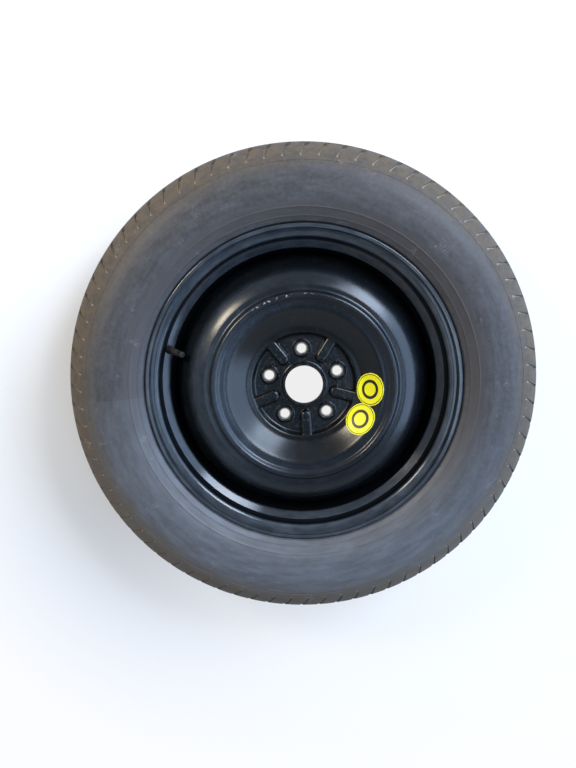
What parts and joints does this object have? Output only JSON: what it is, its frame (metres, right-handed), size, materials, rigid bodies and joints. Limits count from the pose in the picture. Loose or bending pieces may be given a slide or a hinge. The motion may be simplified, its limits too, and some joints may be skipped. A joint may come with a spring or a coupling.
{
  "type": "spare wheel",
  "caption": "Narrow temporary spare wheel: bias-ply tyre on a black pressed steel rim and disc with conical nut seats, a centring bore and a snap-in rubber valve.",
  "frame": {"origin": "centre of the wheel, on its axis in the middle plane of the rim", "axes": "+Z along the wheel's axis towards the outboard side, +Y through one bolt hole"},
  "size_m": [0.7538, 0.7538, 0.165],
  "materials": {
    "tyre_rubber": "moulded, dusty at the shoulder",
    "black_paint": "gloss black stoved paint",
    "painted_weld": "rippled weld under gloss black paint",
    "valve_rubber": "moulded, matt",
    "stem_brass": "turned",
    "gasket_plastic": "moulded",
    "seal_rubber": "moulded, matt",
    "spring_steel": "drawn wire",
    "cap_plastic": "moulded, slightly worn",
    "label_vinyl": "printed film"
  },
  "bodies": {
    "wheel": {"tyre": "tyre_rubber", "rim": "black_paint", "wheel_disc": "black_paint", "disc_welds": "painted_weld", "valve_body": "valve_rubber", "valve_stem": "stem_brass", "core_housing": "stem_brass", "core_gasket": "gasket_plastic", "core_spring": "spring_steel", "label": "label_vinyl"},
    "core_plunger": {"core_pin": "stem_brass", "core_seal": "seal_rubber"},
    "cap_ring": {"cap_seal": "seal_rubber"},
    "cap": {"valve_cap": "cap_plastic"}
  },
  "joints": [
    {"name": "pin_press", "type": "slide", "parent": "wheel", "child": "core_plunger", "axis": [-0.6725, 0.2185, -0.7071], "range_m": [0, 0.0012], "stiffness_N_per_m": 1200, "springref_m": -0.001, "deforming": ["core_spring"]},
    {"name": "cap_lift", "type": "slide", "parent": "wheel", "child": "cap_ring", "axis": [0.6725, -0.2185, 0.7071], "range_m": [0, 0.0045]},
    {"name": "cap_turn", "type": "hinge", "parent": "cap_ring", "child": "cap", "pos_m": [-0.18767, 0.06098, 0.05198], "axis": [0.6725, -0.2185, 0.7071], "range_deg": [0, 1980]}
  ],
  "couplings": [
    {"joint": "cap_lift", "follows": "cap_turn", "m_per_rad": 0.00012637}
  ]
}
